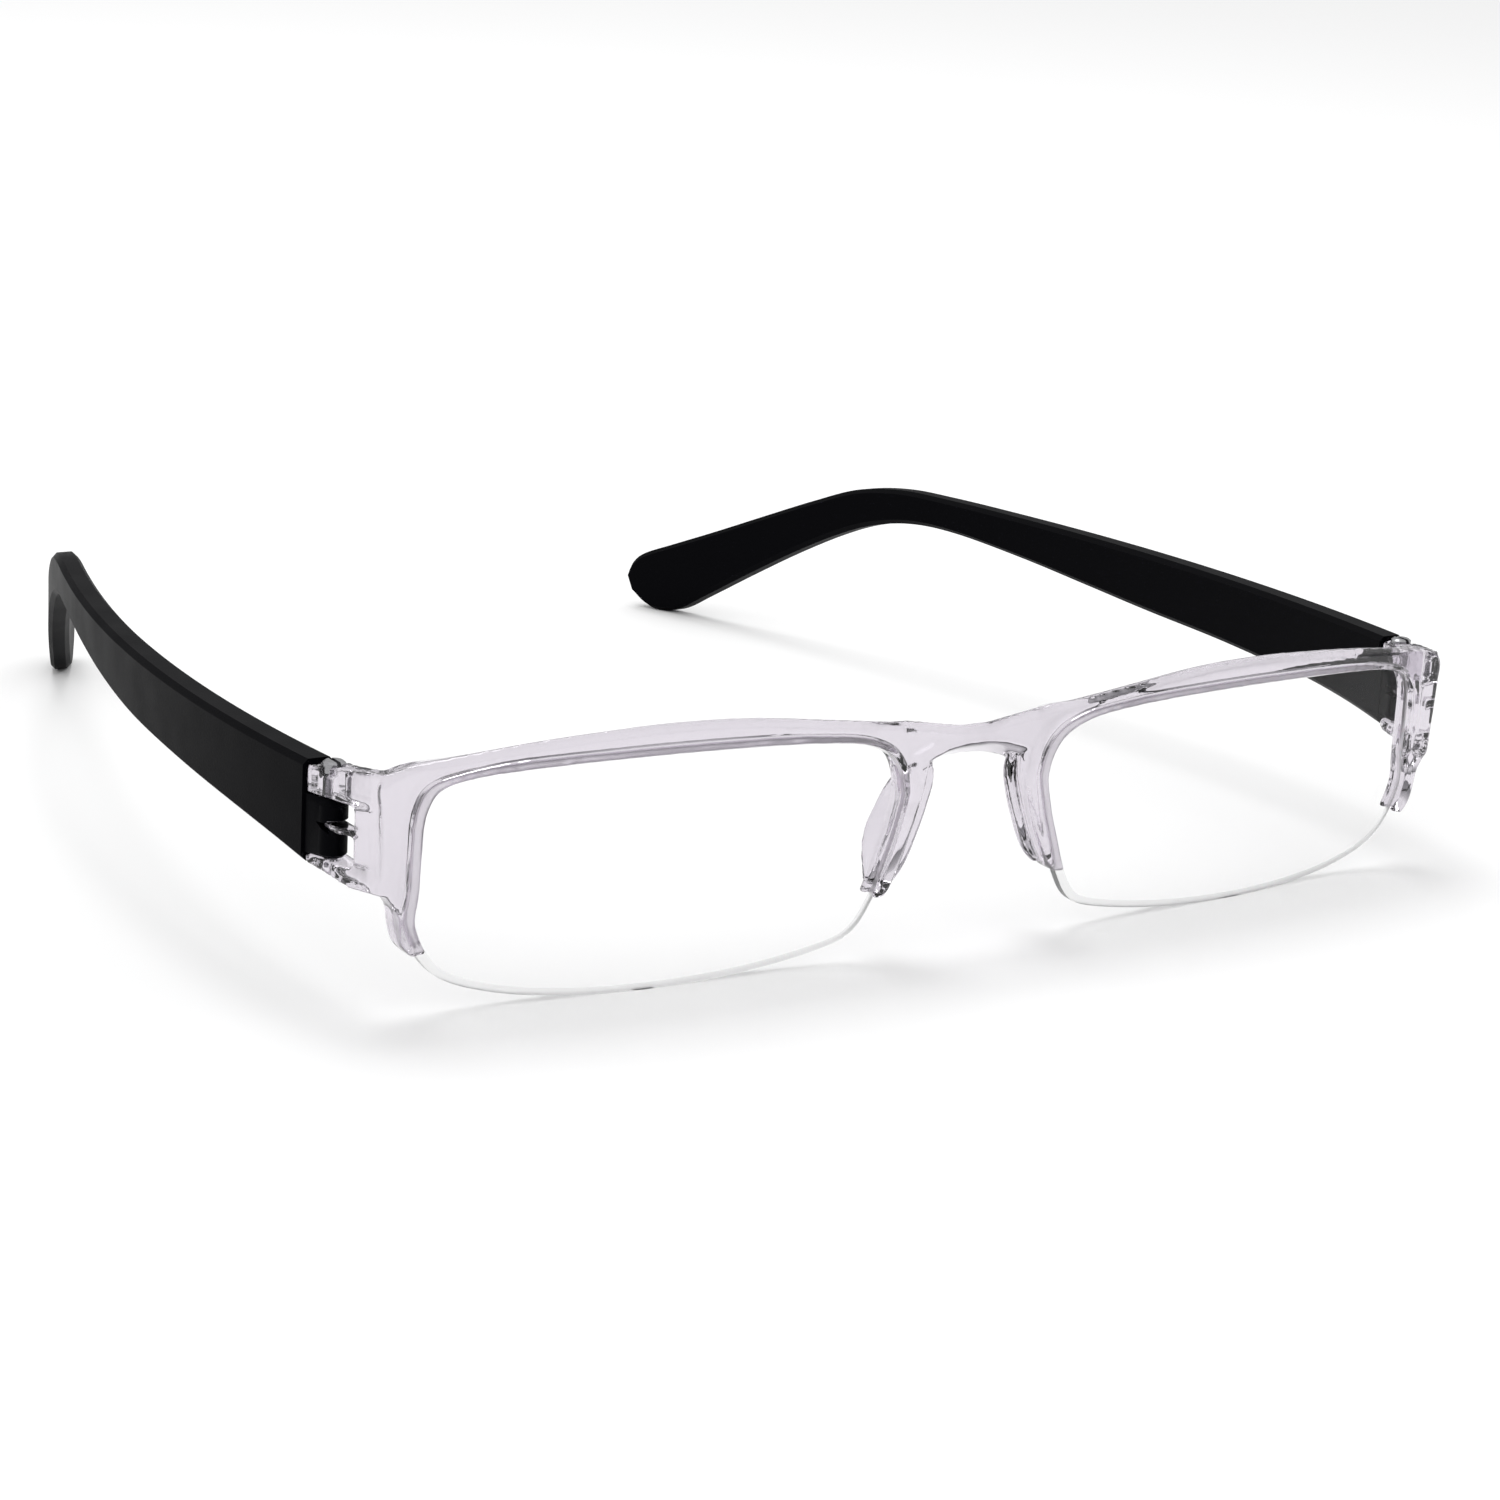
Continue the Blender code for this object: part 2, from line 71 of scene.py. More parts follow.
# Front moulding
FRONT_BOW = 2.76
FRONT_LEAN = 0.029
FRONT_MID_Z = 12.4
FRONT_START_Y = 0.4
BRIDGE_RECESS = 1.5
BRIDGE_RECESS_REACH = 9.0
FRONT_THICKNESS = 3.4
TOP_CHAMFER = 0.7
SIDE_CHAMFER = 0.25
BACK_CHAMFER = 0.5
TOP_BACK_FALL = 1.0
LUG_ARC_STEPS = 16
TENON_ARC_STEPS = 32
VOXEL = 0.2
SMOOTH_ROUNDS = 6
SMOOTH_SHARE = 0.55

# Lenses
LENS_MIDDLE = (35.0, 12.4)
LENS_SETBACK = 0.55
LENS_FRONT_RADIUS = 250.0
LENS_BACK_RADIUS = 480.0
LENS_THICKNESS = 1.9
LENS_FRONT_BEVEL = (0.85, 0.22)
LENS_BACK_BEVEL = 0.15
LENS_EDGE_STEPS = 8
LENS_RINGS = 12
GROUND_EDGE = "ground_edge"
LENS_SEAT = 0.7
GROOVE_GAP = 0.12
GROOVE_DEPTH = LENS_SEAT + 0.3

# Edge of the lens, from the outer side up, over the top, down the nose side and along the bottom
LENS_OUTLINE = (
    (61.6, 8.6), (61.5, 12.6), (61.4, 16.6), (61.1, 20.2), (59.6, 22.8), (56.0, 23.9),
    (50.0, 24.35), (42.5, 24.6), (35.0, 24.7), (27.0, 24.6), (19.0, 24.25), (13.2, 23.4),
    (9.7, 21.3), (8.3, 17.6), (8.9, 13.8), (10.1, 10.0), (11.5, 6.2), (13.8, 3.0),
    (18.2, 1.6), (26.5, 0.45), (35.5, 0.0), (44.2, 0.25), (52.5, 1.4), (58.6, 3.8),
)

# Outer edge of the half rim: place along the lens outline, then x and z
RIM_STATIONS = (
    (-0.5, 61.35, 6.1), (-0.2, 62.3, 7.2), (0.15, 62.8, 8.9), (0.6, 63.1, 10.8),
    (0.85, 63.8, 11.9), (1.15, 64.5, 13.2), (2.0, 64.65, 16.6), (3.0, 64.85, 20.6),
    (3.7, 64.9, 23.4), (4.4, 62.6, 24.8), (5.1, 58.4, 25.4), (6.0, 50.6, 26.3),
    (7.0, 43.0, 26.85), (8.0, 35.2, 27.15), (9.0, 27.0, 26.9), (10.0, 18.0, 25.9),
    (11.0, 11.3, 25.0), (11.6, 7.8, 24.5), (12.1, 5.9, 22.2), (13.0, 6.1, 18.1),
    (13.8, 6.9, 15.1), (14.6, 7.95, 11.9), (15.2, 9.0, 9.4), (15.7, 9.9, 7.5),
    (15.95, 10.6, 6.7),
)

# Bridge: x, top z and underside z at its front
BRIDGE_STATIONS = (
    (0.0, 23.4, 21.2), (1.6, 23.4, 21.15), (3.4, 23.7, 20.9), (5.2, 24.05, 20.4),
    (7.4, 24.5, 19.8), (8.4, 24.6, 21.0),
)
BRIDGE_UNDERCUT = 1.6

# Nose pad: z, x of its nose edge, x of its root in the leg, and x and y of its back edge
PAD_STATIONS = (
    (19.55, 4.55, 6.6, 6.75, 5.25), (18.4, 4.2, 6.7, 6.9, 5.7), (17.2, 4.3, 6.9, 7.15, 6.4),
    (16.0, 4.6, 7.2, 7.45, 7.0),
    (14.3, 5.1, 7.7, 8.0, 7.4), (12.4, 5.8, 8.3, 8.7, 7.65), (10.4, 6.6, 9.1, 9.3, 7.25),
    (8.8, 7.5, 9.8, 9.75, 6.3), (7.6, 8.7, 10.3, 10.3, 5.2),
)
PAD_SETBACK = 1.1
PAD_EDGE = 0.9

# Hinge
HINGE_X = 66.0
HINGE_Y = 12.8
BARREL_RADIUS = 1.9
KNUCKLE_RADIUS = 1.45
WALL_BACK_Y = 8.9
WALL_INSET = 0.08
BUTT_Y = 15.0
BUTT_GAP = 0.3
LUG_LEVELS = ((12.3, 14.25), (20.3, 24.5))
LUG_TOP_FALL = 0.13
LUG_BOTTOM_RISE = 0.2
LEAF_LEVELS = (17.4, 18.0)
LEAF_RADIUS = 1.05
TENON_PROFILE = ((14.4, 1.1), (14.75, KNUCKLE_RADIUS), (19.5, KNUCKLE_RADIUS), (20.15, 0.95))
SLOT_LEVELS = (17.25, 18.15)
SLOT_RADIUS = 1.15
NOTCH = ((-2.2, 18.05), (0.5, 17.8), (-2.2, 16.3))
BORE_RADIUS = 0.72
SCREW_RADIUS = 0.6
SCREW_HEAD_RADIUS = 1.1
HEAD_RECESS_RADIUS = 1.35
HEAD_SEAT_Z = 22.6
SCREW_TOP_Z = 23.7
SCREW_END_Z = 13.4
HEAD_SLOT_WIDTH = 0.4
HEAD_SLOT_DEPTH = 0.5
CUT_BOTTOM_Z = 10.0
CUT_TOP_Z = 26.0
BORE_SIDES = 32
SCREW_SIDES = 48

# Temples: y and z of the top edge, then y and z of the bottom edge
TEMPLE_STATIONS = (
    (15.0, 23.4, 15.0, 13.4), (22.0, 23.4, 22.0, 14.3), (31.0, 23.4, 31.0, 15.1),
    (43.0, 23.4, 43.0, 15.8), (56.0, 23.4, 56.0, 16.4), (68.0, 23.4, 67.0, 17.3),
    (80.0, 23.4, 78.0, 18.4), (91.0, 23.4, 89.0, 19.3), (98.0, 23.2, 96.0, 19.1),
    (104.5, 22.0, 102.0, 17.7), (111.0, 19.3, 107.5, 15.3), (118.0, 16.0, 114.0, 11.6),
    (125.4, 12.4, 120.5, 7.4), (131.5, 9.5, 126.5, 3.3), (135.6, 7.5, 130.6, 0.6),
    (137.2, 6.0, 134.0, 0.1), (137.7, 4.6, 136.6, 1.7),
)
TEMPLE_FRONT_THICKNESS = 3.3
TEMPLE_REAR_THICKNESS = 2.6
TEMPLE_CHAMFER = 0.55

# Materials, tuned by tone; the lens faces have a lower index than real plastic, to mirror less
PLASTIC_INDEX = 1.49
LENS_FACE_INDEX = 1.2
CLEAR_COLOUR = (0.70, 0.665, 0.72)
BLACK_COLOUR = (0.0012, 0.0012, 0.002)
BLACK_SPECULAR = 0.025
STEEL_COLOUR = (0.3, 0.3, 0.31)
SMEAR_ROUGHNESS = 0.012
GROUND_ROUGHNESS = 0.4
GROUND_TINT = 0.8

# Room, in metres
FLOOR_REACH = 6.0
FLOOR_COLOUR = (0.9, 0.9, 0.9)
HORIZON_COLOUR = (0.15, 0.15, 0.16, 1.0)
ROOM_COLOUR = (1.0, 1.0, 1.0, 1.0)
ROOM_STRENGTH = 1.02
KEY_PLACE = (0.05, 0.35, 0.9)
KEY_TARGET = (0.0, 0.0, 0.0)
KEY_SIZE = 0.45
KEY_POWER = 3.1

# Camera, in the drawing frame
CAMERA_PLACE = (-215.41, -285.62, 122.43)
CAMERA_AZIMUTH = -33.226
CAMERA_ELEVATION = 16.052
CAMERA_ROLL = 3.387
CAMERA_LENS = 89.26

SIDES = ((1, "left"), (-1, "right"))


def drawing_shift():
    """Shift in metres from the drawing frame to the shared frame, read off the left hinge axis."""
    hinge = next(joint for joint in frame["joints"] if joint["name"] == "temple_left_fold")
    place = hinge["pos_m"]
    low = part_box("lens_left")[0]
    return Vector((place[0] - HINGE_X * MM, place[1] - HINGE_Y * MM, low.z))


SHIFT = drawing_shift()


def curve_points(points, places):
    """Points on the smooth curve through the given points, at places counted in points."""
    points = np.array(points, dtype=float)
    result = []
    for place in places:
        first = min(int(math.floor(place)), len(points) - 2)
        share = place - first
        before = points[first - 1] if first > 0 else 2.0 * points[0] - points[1]
        start = points[first]
        end = points[first + 1]
        last = len(points) - 1
        after = points[first + 2] if first + 2 <= last else 2.0 * points[last] - points[last - 1]
        turn = (2.0 * before - 5.0 * start + 4.0 * end - after) * share ** 2
        twist = (3.0 * (start - end) + after - before) * share ** 3
        result.append(0.5 * (2.0 * start + (end - before) * share + turn + twist))
    return np.array(result)


def smooth_curve(points, steps):
    """Points on the curve through all the given points, with the ends kept."""
    count = (len(points) - 1) * steps
    return curve_points(points, [index / steps for index in range(count + 1)])


def lens_edge(places, inset=0.0):
    """Points on the closed lens outline at the given places, moved inwards by inset."""
    size = len(LENS_OUTLINE)
    margin = 2
    ring = [LENS_OUTLINE[index % size] for index in range(-margin, size + margin + 1)]
    nudge = 0.01
    points = curve_points(ring, [place + margin for place in places])
    ahead = curve_points(ring, [place + margin + nudge for place in places])
    along = ahead - points
    along /= np.linalg.norm(along, axis=1)[:, None]
    inward = np.stack([-along[:, 1], along[:, 0]], axis=1)
    return points + inward * inset


def front_y(x, z):
    """Depth of the moulding's front face."""
    bow = FRONT_BOW * (x / 50.0) ** 2
    recess = BRIDGE_RECESS * math.exp(-(x / BRIDGE_RECESS_REACH) ** 2)
    return FRONT_START_Y + bow + recess - FRONT_LEAN * (z - FRONT_MID_Z)


def lens_y(x, z, radius):
    """Depth of a lens surface of the given radius, before the lens thickness is added."""
    middle_x, middle_z = LENS_MIDDLE
    tilt = 2.0 * FRONT_BOW * middle_x / 50.0 ** 2
    plane = front_y(middle_x, middle_z) + LENS_SETBACK
    plane += tilt * (x - middle_x) - FRONT_LEAN * (z - middle_z)
    distance = (x - middle_x) ** 2 + (z - middle_z) ** 2
    return plane + distance / (2.0 * radius)


def lens_front(x, z):
    """Depth of the lens's front surface."""
    return lens_y(x, z, LENS_FRONT_RADIUS)


def lens_back(x, z):
    """Depth of the lens's back surface."""
    return lens_y(x, z, LENS_BACK_RADIUS) + LENS_THICKNESS


def temple_outer_x(y):
    """Outer face of the temple: it bows out a little, then comes in towards the ear."""
    length = y / 100.0
    return 66.345 + 15.7 * length - 23.9 * length ** 2


def solid(name, points, faces, side=1):
    """Closed mesh object from points in the drawing frame, mirrored for side -1, facing outwards."""
    mesh = bpy.data.meshes.new(name)
    places = [Vector((side * x * MM, y * MM, z * MM)) + Vector((side * SHIFT.x, SHIFT.y, SHIFT.z))
              for x, y, z in points]
    mesh.from_pydata(places, [], faces)
    work = bmesh.new()
    work.from_mesh(mesh)
    bmesh.ops.recalc_face_normals(work, faces=work.faces)
    work.to_mesh(mesh)
    work.free()
    result = bpy.data.objects.new(name, mesh)
    bpy.context.scene.collection.objects.link(result)
    return result


def loft(name, rings, side=1):
    """Solid skinned through rings of points, with its first and last ring as end faces."""
    size = len(rings[0])
    points = [point for ring in rings for point in ring]
    faces = [tuple(range(size)), tuple(range(len(points) - size, len(points)))]
    for ring in range(len(rings) - 1):
        for corner in range(size):
            ahead = (corner + 1) % size
            low = ring * size
            high = low + size
            faces.append((low + corner, low + ahead, high + ahead, high + corner))
    return solid(name, points, faces, side)


def turned(name, profile, sides, side):
    """Solid turned about the hinge axis from (z, radius) points."""
    rings = []
    for z, radius in profile:
        angles = [2.0 * math.pi * index / sides for index in range(sides)]
        rings.append([(HINGE_X + radius * math.cos(a), HINGE_Y + radius * math.sin(a), z)
                      for a in angles])
    return loft(name, rings, side)


def plate(name, outline, low, high, side, top_fall=0.0, bottom_rise=0.0):
    """Plate of a plan outline between two heights; top and bottom may close in to the back."""
    bottom = [(x, y, low + bottom_rise * max(0.0, y - WALL_BACK_Y)) for x, y in outline]
    top = [(x, y, high - top_fall * (y - FRONT_START_Y - FRONT_BOW)) for x, y in outline]
    return loft(name, [bottom, top], side)


def baked_mesh(thing):
    """Mesh of an object with its modifiers applied."""
    graph = bpy.context.evaluated_depsgraph_get()
    return bpy.data.meshes.new_from_object(thing.evaluated_get(graph))


def apply_modifiers(thing):
    """Replace an object's mesh by what its modifiers make of it."""
    mesh = baked_mesh(thing)
    thing.modifiers.clear()
    thing.data = mesh
    mesh.name = thing.name


def combine(target, tools, operation):
    """Apply a Boolean of each tool to the target and remove the tools."""
    for tool in tools:
        modifier = target.modifiers.new(operation.lower(), "BOOLEAN")
        modifier.operation = operation
        modifier.solver = "EXACT"
        modifier.object = tool
    apply_modifiers(target)
    for tool in tools:
        bpy.data.objects.remove(tool)


def shade(thing, sharp_angle):
    """Shade smooth, except at edges that turn by more than an angle in degrees."""
    thing.data.shade_smooth()
    thing.data.set_sharp_from_angle(angle=math.radians(sharp_angle))


def rim_ring(inner, outer):
    """Section of the half rim from its grooved lens side to its chamfered outer side."""
    across = outer - inner
    width = np.linalg.norm(across)
    across /= width
    rise = min(1.0, max(0.0, 1.8 * across[1]))
    face = front_y(*inner)
    mouth_front = lens_front(*inner) - face - GROOVE_GAP
    mouth_back = lens_back(*inner) - face + GROOVE_GAP
    chamfer = min(SIDE_CHAMFER + rise * (TOP_CHAMFER - SIDE_CHAMFER), 0.3 * width)
    back_chamfer = min(BACK_CHAMFER, 0.3 * width)
    depth = min(GROOVE_DEPTH, 0.65 * width)
    back = FRONT_THICKNESS
    back_width = width - rise * TOP_BACK_FALL
    section = (
        (0.0, 0.3), (0.3, 0.0), (width - chamfer, 0.0), (width, chamfer),
        (back_width, back - back_chamfer), (back_width - back_chamfer, back), (0.3, back),
        (0.0, back - 0.3), (0.0, mouth_back), (depth, mouth_back), (depth, mouth_front),
        (0.0, mouth_front),
    )
    ring = []
    for distance, into in section:
        x, z = inner + across * distance
        ring.append((x, front_y(x, z) + into, z))
    return ring


def half_rim(side):
    """Inverted U around the top and sides of one lens."""
    stations = smooth_curve(RIM_STATIONS, 10)
    inner = lens_edge(stations[:, 0], inset=LENS_SEAT)
    rings = [rim_ring(start, end) for start, end in zip(inner, stations[:, 1:])]
    return loft("half_rim", rings, side)


def bridge():
    """Arch over the nose that joins the two half rims."""
    right_half = [tuple(row) for row in smooth_curve(BRIDGE_STATIONS, 6)]
    left_half = [(-x, top, under) for x, top, under in reversed(right_half[1:])]
    rings = []
    for x, top, under in left_half + right_half:
        face = front_y(x, under)
        back = face + FRONT_THICKNESS
        middle = under - 0.5 * BRIDGE_UNDERCUT
        back_top = top - TOP_BACK_FALL
        rings.append([
            (x, face, under + 0.3), (x, face, top - TOP_CHAMFER),
            (x, face + TOP_CHAMFER, top), (x, back - BACK_CHAMFER, back_top),
            (x, back, back_top - BACK_CHAMFER), (x, back, under - BRIDGE_UNDERCUT + 0.3),
            (x, back - 0.4, under - BRIDGE_UNDERCUT), (x, face + 1.6, middle),
            (x, face + 0.3, under),
        ])
    return loft("front", rings)


def nose_pad(side):
    """Curved plate that rests on the nose, splayed back from the leg of the half rim."""
    rings = []
    for z, nose_x, root_x, edge_x, edge_y in smooth_curve(PAD_STATIONS, 5):
        start_y = front_y(nose_x, z) + PAD_SETBACK
        rings.append([
            (nose_x, start_y + 0.3, z), (nose_x + 0.4, start_y, z), (root_x, start_y + 0.3, z),
            (root_x, start_y + 2.0, z), (edge_x + PAD_EDGE, edge_y - 0.4, z),
            (edge_x + 0.5 * PAD_EDGE, edge_y, z), (edge_x, edge_y - 0.2, z),
        ])
    return loft("nose_pad", rings, side)


def hinge_arc(radius, start, end, steps):
    """Plan points on an arc about the hinge axis, with angles in degrees from +X."""
    result = []
    for index in range(steps + 1):
        angle = math.radians(start + (end - start) * index / steps)
        result.append((HINGE_X + radius * math.cos(angle), HINGE_Y + radius * math.sin(angle)))
    return result


def corner_line():
    """Plan of the outer corner, from inside the half rim to the side of the corner."""
    front_face = front_y(63.6, 18.0)
    return [(63.5, front_face + 1.2), (64.2, front_face + 0.4), (64.75, front_face + 0.7)]


def lug_outline():
    """Plan of a hinge lug: corner, outer face to the butt line, and the barrel inside."""
    rear_y = BUTT_Y - BUTT_GAP
    outline = corner_line() + [(66.3, 9.0), (temple_outer_x(rear_y) - 0.15, rear_y)]
    outline += hinge_arc(BARREL_RADIUS, 90.0, 180.0, LUG_ARC_STEPS)
    return outline + [(HINGE_X - BARREL_RADIUS, 11.2), (63.5, WALL_BACK_Y - 0.5)]


def corner_wall(side):
    """Solid corner between the half rim and the hinge window, set in from the lugs."""
    outline = [(x - WALL_INSET, y + WALL_INSET) for x, y in corner_line()]
    outline += [(66.0, WALL_BACK_Y - 0.3), (65.6, WALL_BACK_Y), (63.7, WALL_BACK_Y - 0.45)]
    low = LUG_LEVELS[0][0]
    high = LUG_LEVELS[-1][1]
    return plate("corner_wall", outline, low, high - 0.1, side, LUG_TOP_FALL)


def hinge_lugs(side):
    """The bottom and top lugs of the front, and the thin leaf between them."""
    bottom, top = LUG_LEVELS
    outline = lug_outline()
    leaf = [(HINGE_X - LEAF_RADIUS, WALL_BACK_Y - 1.0), (HINGE_X - 0.5, WALL_BACK_Y - 1.0),
            (HINGE_X + LEAF_RADIUS, WALL_BACK_Y + 0.9)]
    leaf += hinge_arc(LEAF_RADIUS, 0.0, 180.0, LUG_ARC_STEPS)
    return [
        plate("lug", outline, *bottom, side, bottom_rise=LUG_BOTTOM_RISE),
        plate("lug", outline, *top, side, top_fall=LUG_TOP_FALL),
        plate("leaf", leaf, *LEAF_LEVELS, side),
    ]


def soften(thing):
    """Turn crisp joined solids into one moulded skin with small round edges."""
    remesh = thing.modifiers.new("skin", "REMESH")
    remesh.mode = "VOXEL"
    remesh.voxel_size = VOXEL * MM
    remesh.adaptivity = 0.0
    apply_modifiers(thing)
    work = bmesh.new()
    work.from_mesh(thing.data)
    for _ in range(SMOOTH_ROUNDS):
        bmesh.ops.smooth_vert(work, verts=work.verts, factor=SMOOTH_SHARE,
                              use_axis_x=True, use_axis_y=True, use_axis_z=True)
    work.to_mesh(thing.data)
    work.free()
    thing.data.shade_smooth()


def bore(side):
    """Cutter for the hole that the hinge screw runs in."""
    return turned("bore", ((CUT_BOTTOM_Z, BORE_RADIUS), (CUT_TOP_Z, BORE_RADIUS)), BORE_SIDES, side)


def front_moulding():
    """The clear one-piece front, bored for the hinge screws."""
    body = bridge()
    additions = []
    for side, _ in SIDES:
        additions += [half_rim(side), nose_pad(side), corner_wall(side)] + hinge_lugs(side)
    combine(body, additions, "UNION")
    cuts = []
    for side, _ in SIDES:
        cuts.append(bore(side))
        recess = ((HEAD_SEAT_Z - 0.3, HEAD_RECESS_RADIUS), (CUT_TOP_Z, HEAD_RECESS_RADIUS))
        cuts.append(turned("head_recess", recess, BORE_SIDES, side))
    combine(body, cuts, "DIFFERENCE")
    soften(body)
    return body


def lens(name, side):
    """Meniscus lens; an attribute marks its ground edge."""
    places = [index / LENS_EDGE_STEPS for index in range(LENS_EDGE_STEPS * len(LENS_OUTLINE))]
    edge = lens_edge(places)
    run, depth = LENS_FRONT_BEVEL
    front = lens_edge(places, inset=run)
    back = lens_edge(places, inset=LENS_BACK_BEVEL)
    middle = np.array(LENS_MIDDLE)
    shares = [index / LENS_RINGS for index in range(1, LENS_RINGS + 1)]
    rings = []
    for share in shares:
        rings.append([(x, lens_front(x, z), z) for x, z in middle + share * (front - middle)])
    rings.append([(x, lens_front(x, z) + depth, z) for x, z in edge])
    rings.append([(x, lens_back(x, z) - LENS_BACK_BEVEL, z) for x, z in edge])
    for share in reversed(shares):
        rings.append([(x, lens_back(x, z), z) for x, z in middle + share * (back - middle)])
    result = loft(name, rings, side)
    ground = result.data.attributes.new(GROUND_EDGE, "FLOAT", "FACE")
    first = 2 + (len(shares) - 1) * len(places)
    for index in range(first, first + 3 * len(places)):
        ground.data[index].value = 1.0
    shade(result, 12.0)
    return result


def temple_ring(station):
    """Upright section of the temple with chamfered edges."""
    top_y, top_z, bottom_y, bottom_z = station
    top = np.array((top_y, top_z))
    bottom = np.array((bottom_y, bottom_z))
    height = np.linalg.norm(top - bottom)
    up = (top - bottom) / height
    chamfer = min(TEMPLE_CHAMFER, 0.3 * height)
    share = (top_y - BUTT_Y) / (TEMPLE_STATIONS[-1][0] - BUTT_Y)
    thickness = TEMPLE_FRONT_THICKNESS + share * (TEMPLE_REAR_THICKNESS - TEMPLE_FRONT_THICKNESS)
    section = (
        (0.0, chamfer), (0.0, height - chamfer), (chamfer, height), (thickness - chamfer, height),
        (thickness, height - chamfer), (thickness, chamfer), (thickness - chamfer, 0.0),
        (chamfer, 0.0),
    )
    ring = []
    for inward, rise in section:
        y, z = bottom + up * rise
        ring.append((temple_outer_x(y) - inward, y, z))
    return ring


def tenon(side):
    """Round-nosed block at the front of the temple that turns between the lugs."""
    rings = []
    for z, radius in TENON_PROFILE:
        outline = [(HINGE_X - 0.7, BUTT_Y + 1.5), (HINGE_X + 1.85, BUTT_Y + 1.5),
                   (HINGE_X + 1.85, BUTT_Y - 0.4)]
        outline += hinge_arc(radius, 0.0, -180.0, TENON_ARC_STEPS)
        rings.append([(x, y, z) for x, y in outline])
    return loft("tenon", rings, side)


def tenon_cuts(side):
    """Slot for the leaf, open to the front and inside, the notch before it, and the pin's bore."""
    far = HINGE_X - 5.0
    slot = hinge_arc(SLOT_RADIUS, 0.0, 90.0, LUG_ARC_STEPS)
    slot += [(far, HINGE_Y + SLOT_RADIUS), (far, HINGE_Y - 4.0),
             (HINGE_X + SLOT_RADIUS, HINGE_Y - 4.0)]
    notch = [[(HINGE_X + reach, HINGE_Y + y, z) for y, z in NOTCH] for reach in (0.9, 4.0)]
    return [
        plate("slot", slot, *SLOT_LEVELS, side),
        loft("notch", notch, side),
        bore(side),
    ]


def temple(name, side):
    """Black side arm with the tenon of its hinge."""
    stations = smooth_curve(TEMPLE_STATIONS, 8)
    body = loft(name, [temple_ring(station) for station in stations], side)
    combine(body, [tenon(side)], "UNION")
    combine(body, tenon_cuts(side), "DIFFERENCE")
    shade(body, 30.0)
    return body


def hinge_screw(name, side):
    """Slotted cap screw that is the hinge pin."""
    profile = ((SCREW_END_Z, SCREW_RADIUS - 0.15), (SCREW_END_Z + 0.2, SCREW_RADIUS),
               (HEAD_SEAT_Z, SCREW_RADIUS), (HEAD_SEAT_Z, SCREW_HEAD_RADIUS),
               (SCREW_TOP_Z - 0.2, SCREW_HEAD_RADIUS), (SCREW_TOP_Z, SCREW_HEAD_RADIUS - 0.25))
    body = turned(name, profile, SCREW_SIDES, side)
    half = 0.5 * HEAD_SLOT_WIDTH
    outline = [(HINGE_X - half, HINGE_Y - 2.0), (HINGE_X + half, HINGE_Y - 2.0),
               (HINGE_X + half, HINGE_Y + 2.0), (HINGE_X - half, HINGE_Y + 2.0)]
    slot = plate("slot", outline, SCREW_TOP_Z - HEAD_SLOT_DEPTH, SCREW_TOP_Z + 1.0, side)
    combine(body, [slot], "DIFFERENCE")
    shade(body, 30.0)
    return body


def new_material(name, base, roughness, metallic=0.0):
    """Principled material; returns it with its shader and node tree."""
    result = bpy.data.materials.new(name)
    result.use_nodes = True
    tree = result.node_tree
    shader = tree.nodes["Principled BSDF"]
    shader.inputs["Base Color"].default_value = (*base, 1.0)
    shader.inputs["Roughness"].default_value = roughness
    shader.inputs["Metallic"].default_value = metallic
    return result, shader, tree


def object_noise(tree, scale, detail):
    """Noise texture in object coordinates, in features per metre."""
    place = tree.nodes.new("ShaderNodeTexCoord")
    noise = tree.nodes.new("ShaderNodeTexNoise")
    noise.inputs["Scale"].default_value = scale
    noise.inputs["Detail"].default_value = detail
    tree.links.new(place.outputs["Object"], noise.inputs["Vector"])
    return noise


def add_bump(tree, shader, noise, strength, distance):
    """Bump the surface by a noise."""
    bump = tree.nodes.new("ShaderNodeBump")
    bump.inputs["Strength"].default_value = strength
    bump.inputs["Distance"].default_value = distance
    tree.links.new(noise.outputs["Fac"], bump.inputs["Height"])
    tree.links.new(bump.outputs["Normal"], shader.inputs["Normal"])


def vary(tree, source, low, high, socket):
    """Drive a shader input by a value from 0 to 1, spread over a range."""
    spread = tree.nodes.new("ShaderNodeMapRange")
    spread.inputs["To Min"].default_value = low
    spread.inputs["To Max"].default_value = high
    tree.links.new(source.outputs["Fac"], spread.inputs["Value"])
    tree.links.new(spread.outputs["Result"], socket)


def clear_plastic():
    """Clear moulded plastic with a faint lilac cast and the slight waviness of a moulding."""
    result, shader, tree = new_material("clear_plastic", CLEAR_COLOUR, 0.03)
    shader.inputs["Transmission Weight"].default_value = 1.0
    shader.inputs["IOR"].default_value = PLASTIC_INDEX
    waviness = object_noise(tree, 160.0, 2.0)
    add_bump(tree, shader, waviness, 0.25, 0.0002)
    vary(tree, waviness, 0.01, 0.06, shader.inputs["Roughness"])
    return result


